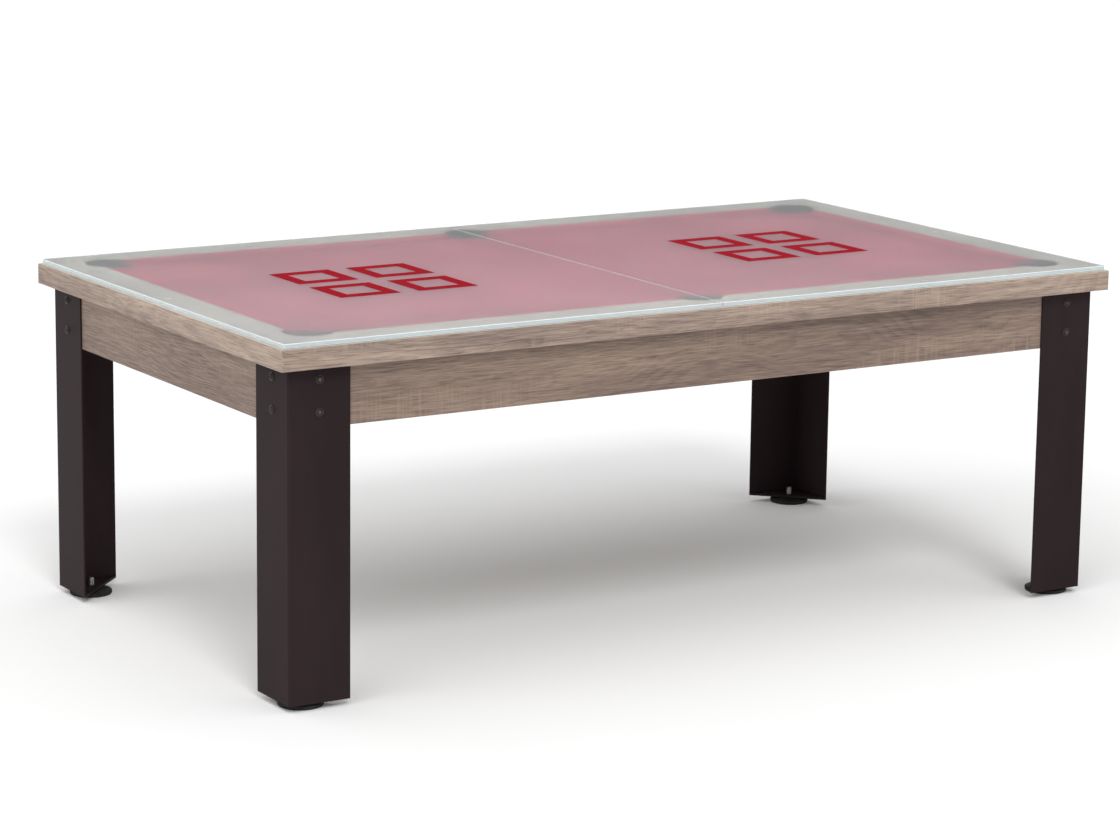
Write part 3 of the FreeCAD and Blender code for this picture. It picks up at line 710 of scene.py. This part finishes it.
class POOLTABLE_OT_cushions(Operator):
    """Six rubber cushions under tight cloth, with round noses and cut jaws"""
    bl_idname = "pool_table.cushions"
    bl_label = "Cushions"

    # Along the section, away from the wood
    GAP = 0.3 * MM
    TUCK_WIDTH = 1.2 * MM
    TUCK_SLOPE = 1.8 * MM
    SOLE = 14 * MM
    FLAT = 36 * MM

    # Up the section: the sole above the bed, the rest down from the top
    SOLE_HEIGHT = 5 * MM
    TUCK = 1.7 * MM
    NOSE_TOP = 1.7 * MM
    NOSE_LOW = 5.7 * MM

    SOLE_ROUNDING = 3 * MM
    JAW_ROUNDING = 1.2 * MM
    MIDDLE_JAW = 5 * MM
    SPARE = 20 * MM

    def strip(self, settings, depth, top, ends):
        """A cushion along X: its section drawn out, then cut to its jaws."""
        sole, crest = (self.SOLE, self.SOLE_HEIGHT), (self.FLAT, top)
        nose_low, nose_top = (depth, top - self.NOSE_LOW), (depth, top - self.NOSE_TOP)
        tuck, groove = self.GAP + self.TUCK_WIDTH, top - self.TUCK
        outline = [(self.GAP, self.SOLE_HEIGHT), sole, nose_low, nose_top, crest,
                   (tuck + self.TUCK_SLOPE, top), (tuck, groove), (self.GAP, groove)]
        start, stop = ends[0][0] - self.SPARE, ends[1][0] + self.SPARE
        bm = bmesh.new()
        face = bm.faces.new([bm.verts.new((start, y, z)) for y, z in outline])
        drawn = bmesh.ops.extrude_face_region(bm, geom=[face])["geom"]
        draw_out(bm, drawn, (stop - start, 0, 0))
        outward(bm)
        for corner, width, segments in ((nose_top, settings.nose, 4), (nose_low, settings.nose, 4),
                                        (crest, settings.crest, 5), (sole, self.SOLE_ROUNDING, 3)):
            runs = [edge for edge in bm.edges if all(
                (Vector(v.co.yz) - Vector(corner)).length < TINY for v in edge.verts)]
            bevel(bm, runs, width, segments)
        for (at_wood, at_nose), side in zip(ends, (-1, 1)):
            across = Vector((at_nose - at_wood, depth, 0)).cross(UP).normalized()
            if across.x * side < 0:
                across.negate()
            rim = cut_off(bm, (at_wood, 0, 0), across)
            bmesh.ops.contextual_create(bm, geom=rim)
            bevel(bm, [edge for edge in rim if edge.is_valid], self.JAW_ROUNDING, segments=3)
        return bm

    def execute(self, context):
        settings = context.scene.pool_table.cloth
        cover = pool_cloth("cushion_cloth_weave", settings.cushion)
        for name in [*CORNERS, *ENDS]:
            low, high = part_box("cushion_" + name)
            if name in CORNERS:
                x_sign, y_sign = CORNERS[name]
                depth = high.y - low.y
                inner, outer = sorted(abs(x) for x in (low.x, high.x))
                ends = ((inner, inner + self.MIDDLE_JAW), (outer, outer - depth))
                rows = (x_sign, 0, 0, 0), (0, -y_sign, 0, y_sign * WOOD_Y)
            else:
                x_sign = ENDS[name]
                depth = high.x - low.x
                ends = ((low.y, low.y + depth), (high.y, high.y - depth))
                rows = (0, -x_sign, 0, x_sign * WOOD_X), (1, 0, 0, 0)
            bm = self.strip(settings, depth, high.z - BED_TOP, ends)
            place = Matrix((*rows, (0, 0, 1, BED_TOP), (0, 0, 0, 1)))
            bmesh.ops.transform(bm, matrix=place, verts=bm.verts)
            outward(bm)
            shade(bm)
            cushion = piece("cushion_pad_" + name, bm, "table", "cushion_cloth", [cover], "cushion_" + name,
                            "cushion_rubbers")
        return {"FINISHED"}


class POOLTABLE_OT_boards(Operator):
    """Laminated rails and aprons with rounded edges, each with its own stretch of grain"""
    bl_idname = "pool_table.boards"
    bl_label = "Rails and Aprons"

    STARTS = {"rail_front": 0.31, "rail_back": 5.3, "rail_left": 9.1, "rail_right": 13.7,
              "apron_front": 2.63, "apron_back": 7.9, "apron_left": 14.6, "apron_right": 16.2}
    PITH = 40 * MM
    SAWN = 0.5

    def grain_shift(self, name, side, start):
        """Moves a board's pith, a little inside the board, to the axis of its grain."""
        low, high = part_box(name)
        middle = (low + high) / 2
        if side in SIDES:
            return start, SIDES[side] * self.PITH - middle.y, -middle.z
        return start, middle.x - ENDS[side] * self.PITH, -middle.z

    def outer_top(self, bm, name, side):
        """A rail's long outer edge at its top."""
        low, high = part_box(name)
        axis, sign = (1, SIDES[side]) if side in SIDES else (0, ENDS[side])
        outer = high[axis] if sign > 0 else low[axis]
        return [edge for edge in bm.edges if all(
            abs(v.co[axis] - outer) < TINY and abs(v.co.z - high.z) < TINY for v in edge.verts)]

    def execute(self, context):
        settings = context.scene.pool_table.boards
        oak = settings.oak_dark, settings.oak_middle, settings.oak_light
        pale = settings.top_dark, settings.top_middle, settings.top_light
        for name, start in self.STARTS.items():
            kind, side = name.split("_")
            shift = self.grain_shift(name, side, start)
            along = "X" if side in SIDES else "Y"
            # Aprons take a darker tint: painted shade under the overhanging rails, partly a real difference
            # in tone
            tint = settings.apron_shade_tint if kind == "apron" else (1, 1, 1)
            tones = [[c * t for c, t in zip(tone, tint)] for tone in oak]
            finishes = [wood("oak_laminate_" + name, along, shift, tones, self.SAWN)]
            bm = merged_copy(name)
            if kind == "rail":
                finishes.append(wood("pale_top_" + name, along, shift, pale, sawn=0))
                bevel(bm, self.outer_top(bm, name, side), settings.brow, segments=3)
            soften(bm, settings.rounding)
            for face in bm.faces:
                face.material_index = int(kind == "rail" and face.normal.z > FACES_UP)
            flatten(piece(name + "_board", bm, "table", "oak_laminate", finishes, name))
        return {"FINISHED"}


class POOLTABLE_OT_legs(Operator):
    """Bent steel angles and their base plates under satin powder coat"""
    bl_idname = "pool_table.legs"
    bl_label = "Legs"

    def execute(self, context):
        settings = context.scene.pool_table.steel
        paint = powder_coat("bronze_powder_coat", settings.paint)
        for corner in CORNERS:
            for kind, made in (("leg_", "leg_angle_"), ("leg_base_", "leg_base_plate_")):
                bm = merged_copy(kind + corner)
                soften(bm, settings.rounding)
                flatten(piece(made + corner, bm, "table", "leg_paint", [paint], kind + corner))
        return {"FINISHED"}


class POOLTABLE_OT_leg_screws(Operator):
    """Sixteen flanged button-head screws with hexagon sockets"""
    bl_idname = "pool_table.leg_screws"
    bl_label = "Leg Screws"

    # Radius and height, from the shank's tip to the rim of the socket
    PROFILE_MM = ((0, -22), (3.2, -22), (4, -21.2), (4, 0), (9.6, 0), (10, 0.3), (10, 1.1), (9.6, 1.6),
                  (7.3, 1.7), (6.9, 2.6), (6.2, 3.6), (5.2, 4.5), (4.1, 5.05), (3.3, 5.2))
    FLANGE = 10 * MM
    STEPS = 36
    SOCKET = 5 * MM
    SOCKET_DEPTH = 2.6 * MM
    SOCKET_BRIGHTNESS = 0.45
    CHAMFER = 0.15 * MM
    TURN_TO_NEXT = 1.7

    def screw(self):
        """One screw along +Z, with the underside of its flange at zero."""
        bm = turned(self.PROFILE_MM, self.STEPS)
        rim = [edge for edge in bm.edges if edge.is_boundary]
        for drop, bare in ((self.CHAMFER, 0), (self.SOCKET_DEPTH, 1)):
            rim = edges_in(bmesh.ops.extrude_edge_only(bm, edges=rim)["geom"])
            for face in {face for edge in rim for face in edge.link_faces}:
                face.material_index = bare
            for vert in {vert for edge in rim for vert in edge.verts}:
                turn = math.atan2(vert.co.y, vert.co.x) % (math.pi / 3) - math.pi / 6
                vert.co.xy = vert.co.xy.normalized() * (self.SOCKET / 2 / math.cos(turn))
                vert.co.z -= drop
        bmesh.ops.contextual_create(bm, geom=rim, mat_nr=1)
        outward(bm)
        return mesh_from("leg_screw", bm)

    def execute(self, context):
        finishes = [black_oxide("black_oxide_steel"), zinc("dull_socket_steel", self.SOCKET_BRIGHTNESS)]
        screw = self.screw()
        lowest, highest = (corner.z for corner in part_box("leg_screws"))
        heights = highest - self.FLANGE, lowest + self.FLANGE
        low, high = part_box("leg_back_right")
        middle = (low + high) / 2
        heads = (middle.x, high.y, Vector((0, 1, 0))), (high.x, middle.y, Vector((1, 0, 0)))
        bm = bmesh.new()
        count = 0
        for x_sign, y_sign in CORNERS.values():
            for x, y, way in heads:
                outwards = Vector((way.x * x_sign, way.y * y_sign, 0))
                aim = UP.rotation_difference(outwards).to_matrix().to_4x4()
                for height in heights:
                    count += 1
                    place = Matrix.Translation((x * x_sign, y * y_sign, height)) @ aim
                    add_copy(bm, screw, place @ Matrix.Rotation(count * self.TURN_TO_NEXT, 4, "Z"))
        bpy.data.meshes.remove(screw)
        shade(bm, limit=math.radians(32))
        piece("leg_screw_set", bm, "table", "black_steel", finishes, "leg_screws")
        return {"FINISHED"}


class POOLTABLE_OT_feet(Operator):
    """Ribbed rubber foot pads and threaded studs"""
    bl_idname = "pool_table.feet"
    bl_label = "Levelling Feet"

    # Radius and height, from the middle of the sole to the bottom of the stud's hole
    PAD_MM = ((0, 0), (44, 0), (48, 0.4), (49.6, 2), (50, 3), (50, 8.6), (49.2, 9.4), (41, 12.5),
              (17.4, 14.5), (8.8, 14.5), (8.3, 14.0), (8.3, 6), (0, 6))
    RIBBED = 49.1 * MM
    THREAD_STEPS = 24
    THREAD_DEPTH = 1.1 * MM
    POINT = 2.5 * MM

    def pad(self, settings):
        """Pad with ribs round its rim."""
        steps = settings.ribs * 2
        bm = turned(self.PAD_MM, steps)
        for vert in bm.verts:
            radius = vert.co.xy.length
            if radius > self.RIBBED:
                column = round(math.atan2(vert.co.y, vert.co.x) / (2 * math.pi) * steps)
                if column % 2:
                    vert.co.xy *= (radius - settings.rib_depth) / radius
        shade(bm, limit=math.radians(28))
        return bm

    def stud(self, settings, radius, low, high):
        """Stud with a true helical thread, cut square at its ends and pointed at its top."""
        turns = math.ceil((high - low) / settings.thread) + 2
        start = low - settings.thread
        groove = ((radius, start), (radius - self.THREAD_DEPTH, start + settings.thread / 2),
                  (radius, start + settings.thread))
        rise = settings.thread / self.THREAD_STEPS
        bm = swept(groove, 2 * math.pi * turns, self.THREAD_STEPS * turns, rise)
        bmesh.ops.remove_doubles(bm, verts=bm.verts, dist=10 * TINY)
        for end, way in ((low, -1), (high, 1)):
            cut_off(bm, (0, 0, end), (0, 0, way))
        bmesh.ops.holes_fill(bm, edges=[edge for edge in bm.edges if edge.is_boundary], sides=0)
        outward(bm)
        for vert in bm.verts:
            most = radius - max(0, vert.co.z - (high - self.POINT))
            if vert.co.xy.length > most:
                vert.co.xy *= most / vert.co.xy.length
        shade(bm, limit=math.radians(50))
        return bm

    def execute(self, context):
        settings = context.scene.pool_table.steel
        tones = (0.010, 0.0095, 0.0095), (0.030, 0.028, 0.027)
        rubber = moulded("foot_rubber_moulded", tones, rough=(0.47, 0.63), pebbles=900, depth=0.05 * MM)
        plating = zinc("zinc_stud")
        for corner in CORNERS:
            low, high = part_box("foot_stud_" + corner)
            centre = (low + high) / 2
            pad = self.pad(settings)
            stud = self.stud(settings, (high.x - low.x) / 2, low.z, high.z)
            for kind, bm, shape, slot, skin in (("foot_pad_", pad, "_ribbed", "foot_rubber", rubber),
                                                ("foot_stud_", stud, "_threaded", "zinc_steel", plating)):
                name = kind + corner
                bmesh.ops.translate(bm, vec=(centre.x, centre.y, 0), verts=bm.verts)
                piece(name + shape, bm, name, slot, [skin], name)
        return {"FINISHED"}


class POOLTABLE_OT_pockets(Operator):
    """Moulded pocket liners and drop cups"""
    bl_idname = "pool_table.pockets"
    bl_label = "Pockets"

    ROUNDING = 0.4 * MM

    def execute(self, context):
        tones = (0.012, 0.012, 0.013), (0.036, 0.036, 0.037)
        plastic = moulded("pocket_moulding", tones, rough=(0.42, 0.58), pebbles=500, depth=0.1 * MM)
        for pocket in POCKETS:
            for part in ("liner", "cup"):
                name = "pocket_%s_%s" % (part, pocket)
                bm = merged_copy(name)
                soften(bm, self.ROUNDING)
                flatten(piece(name + "_moulding", bm, "table", "pocket_plastic", [plastic], name))
        return {"FINISHED"}


class POOLTABLE_OT_bed_frame(Operator):
    """Finishes of the slate, its bearers, bolts, inserts and pads"""
    bl_idname = "pool_table.bed_frame"
    bl_label = "Slate and Bearers"

    # The way that each timber's grain runs, and its stretch of grain
    TIMBERS = {"long": ("X", (0.4, 0.2, 0.9)), "cross": ("Y", (3.1, 0.8, 0.3)),
               "upright": ("Z", (6.2, 0.5, 0.6))}

    def execute(self, context):
        settings = context.scene.pool_table.boards
        tones = settings.pine_dark, settings.pine_middle, settings.pine_light
        beams = ["cross_beam_%s_%s" % (row, end) for row in ("inner", "outer") for end in ENDS]
        bearers = {"long": ["ledgers_long"], "cross": ["ledgers_end", *beams], "upright": ["corner_blocks"]}
        for kind, (along, shift) in self.TIMBERS.items():
            paint_nodes(wood("timber_" + kind, along, shift, tones, sawn=0), *bearers[kind])
        paint_nodes(slate_stone("honed_slate"), "slate_bed")
        paint_nodes(zinc("zinc_fastener"), "rail_bolts", "leg_inserts")
        paint_nodes(clear_pad("clear_soft_pad"), "glass_pads")
        return {"FINISHED"}


class POOLTABLE_OT_stage(Operator):
    """Pale floor, soft studio light and the camera"""
    bl_idname = "pool_table.stage"
    bl_label = "Stage"

    FLOOR_HALF = 400
    FLOOR_TONES = (0.91, 0.91, 0.91), (0.93, 0.93, 0.93)
    CAMERA_AT = (-4.43437, -7.12088, 2.16925)
    YAW, PITCH, ROLL = 0.5529, -0.2056, 0.0126
    SENSOR_MM = 36
    KEY_WAY = (0.25, 1.0, -1.0)
    SIDE_WAY = (1.0, 0.3, -0.7)
    SIDE_SPREAD = math.radians(60)

    # The sky brightens towards its lean. By height, the rim fades out and then the glow comes in.
    SKY_LEAN = (-0.35, -0.3, 0.89)
    SKY_SPAN = (0.0, 0.7)
    RIM_SPAN = (0.07, 0.10)
    GLOW_SPAN = (0.156, 0.185)

    def seen(self, tree):
        """1 for rays that show a thing to the eye, also in glass and metal."""
        path = tree.nodes.new("ShaderNodeLightPath").outputs
        shown = node(tree, "Math", {0: path["Is Camera Ray"], 1: path["Is Glossy Ray"]}, operation="MAXIMUM")
        return node(tree, "Math", {0: shown, 1: path["Is Transmission Ray"]}, operation="MAXIMUM")

    def floor(self, settings):
        """Pale floor that keeps shadows."""
        bm = bmesh.new()
        bmesh.ops.create_grid(bm, x_segments=1, y_segments=1, size=self.FLOOR_HALF)
        mesh = mesh_from("studio_floor", bm)
        material, tree, shader = finish("pale_floor", Roughness=0.9, Specular_IOR_Level=0.0,
                                        Emission_Color=(1, 1, 1, 1))
        cloud = noise(tree, spot(tree), detail=2, scale=0.6)
        tones = ramp(tree, cloud, *zip(ROUGH_SPAN, self.FLOOR_TONES))
        tree.links.new(tones, shader.inputs["Base Color"])
        lift = node(tree, "Math", {0: self.seen(tree), 1: settings.floor_lift}, operation="MULTIPLY")
        tree.links.new(lift, shader.inputs["Emission Strength"])
        mesh.materials.append(material)
        added("studio_floor", mesh)

    def world(self, settings):
        """Pale sky, brightest overhead, with a glow above the horizon and a white rim at the floor's end."""
        world = bpy.data.worlds.new("studio")
        world.use_nodes = True
        tree = world.node_tree
        background = tree.nodes["Background"]
        background.inputs["Color"].default_value = (1, 1, 1, 1)
        here = node(tree, "TexCoord", {}, "Generated")
        way = node(tree, "VectorMath", {0: here, 1: self.SKY_LEAN}, "Value", operation="DOT_PRODUCT")
        sky = level(tree, way, *self.SKY_SPAN, settings.horizon, settings.overhead)
        height = node(tree, "SeparateXYZ", {"Vector": here}, "Z")
        glow = level(tree, height, *self.GLOW_SPAN, settings.horizon, settings.glow)
        rim = level(tree, height, *self.RIM_SPAN, 1.0, 0.0)
        lit = node(tree, "Math", {0: sky, 1: glow}, operation="MAXIMUM")
        lit = node(tree, "Math", {0: lit, 1: rim}, operation="MAXIMUM")
        tree.links.new(lit, background.inputs["Strength"])
        bpy.context.scene.world = world

    def lamp(self, name, strength, spread, way):
        """Distant soft lamp."""
        light = bpy.data.lights.new(name, "SUN")
        light.energy = strength
        light.angle = spread
        added(name, light).rotation_euler = Vector(way).to_track_quat("-Z", "Y").to_euler()

    def camera(self, settings):
        """Camera at the angle of the view."""
        forward = Vector((
            math.sin(self.YAW) * math.cos(self.PITCH),
            math.cos(self.YAW) * math.cos(self.PITCH),
            math.sin(self.PITCH),
        ))
        right = Vector((math.cos(self.YAW), -math.sin(self.YAW), 0))
        up = right.cross(forward)
        across = right * math.cos(self.ROLL) + up * math.sin(self.ROLL)
        upward = -right * math.sin(self.ROLL) + up * math.cos(self.ROLL)
        lens = bpy.data.cameras.new("view_camera")
        lens.sensor_fit = "HORIZONTAL"
        lens.sensor_width = self.SENSOR_MM
        lens.lens = settings.lens
        lens.clip_end = 2 * self.FLOOR_HALF
        made = added("view_camera", lens)
        made.matrix_world = Matrix((across, upward, -forward)).transposed().to_4x4()
        made.location = self.CAMERA_AT
        bpy.context.scene.camera = made

    def execute(self, context):
        settings = context.scene.pool_table.stage
        context.scene.view_settings.view_transform = "Standard"
        self.floor(settings)
        self.world(settings)
        self.lamp("key_light", settings.key, settings.softness, self.KEY_WAY)
        self.lamp("side_light", settings.side, self.SIDE_SPREAD, self.SIDE_WAY)
        self.camera(settings)
        return {"FINISHED"}


OPERATORS = (
    POOLTABLE_OT_glass_tops,
    POOLTABLE_OT_glass_prints,
    POOLTABLE_OT_bed_cloth,
    POOLTABLE_OT_cushions,
    POOLTABLE_OT_boards,
    POOLTABLE_OT_legs,
    POOLTABLE_OT_leg_screws,
    POOLTABLE_OT_feet,
    POOLTABLE_OT_pockets,
    POOLTABLE_OT_bed_frame,
    POOLTABLE_OT_stage,
)


class POOLTABLE_PT_panel(Panel):
    """Lists the table's pieces and settings"""
    bl_idname = "POOLTABLE_PT_panel"
    bl_label = "Pool Table"
    bl_space_type = "VIEW_3D"
    bl_region_type = "UI"
    bl_category = "Pool Table"

    def draw(self, context):
        settings = context.scene.pool_table
        for operator in OPERATORS:
            self.layout.operator(operator.bl_idname)
        for group in (settings.glass, settings.boards, settings.cloth, settings.steel, settings.stage):
            box = self.layout.box()
            for name in group.__annotations__:
                box.prop(group, name)


CLASSES = (
    GlassSettings,
    BoardSettings,
    ClothSettings,
    SteelSettings,
    StageSettings,
    TableSettings,
    *OPERATORS,
    POOLTABLE_PT_panel,
)


def register():
    """Registers the classes and the settings."""
    for kind in CLASSES:
        bpy.utils.register_class(kind)
    bpy.types.Scene.pool_table = PointerProperty(type=TableSettings, name="Pool Table",
                                                 description="Settings of the table")


def unregister():
    """Removes the settings and the classes."""
    del bpy.types.Scene.pool_table
    for kind in reversed(CLASSES):
        bpy.utils.unregister_class(kind)


def main():
    """Builds every piece."""
    register()
    for operator in OPERATORS:
        getattr(bpy.ops.pool_table, operator.bl_idname.split(".")[1])()


if __name__ == "__main__":
    main()
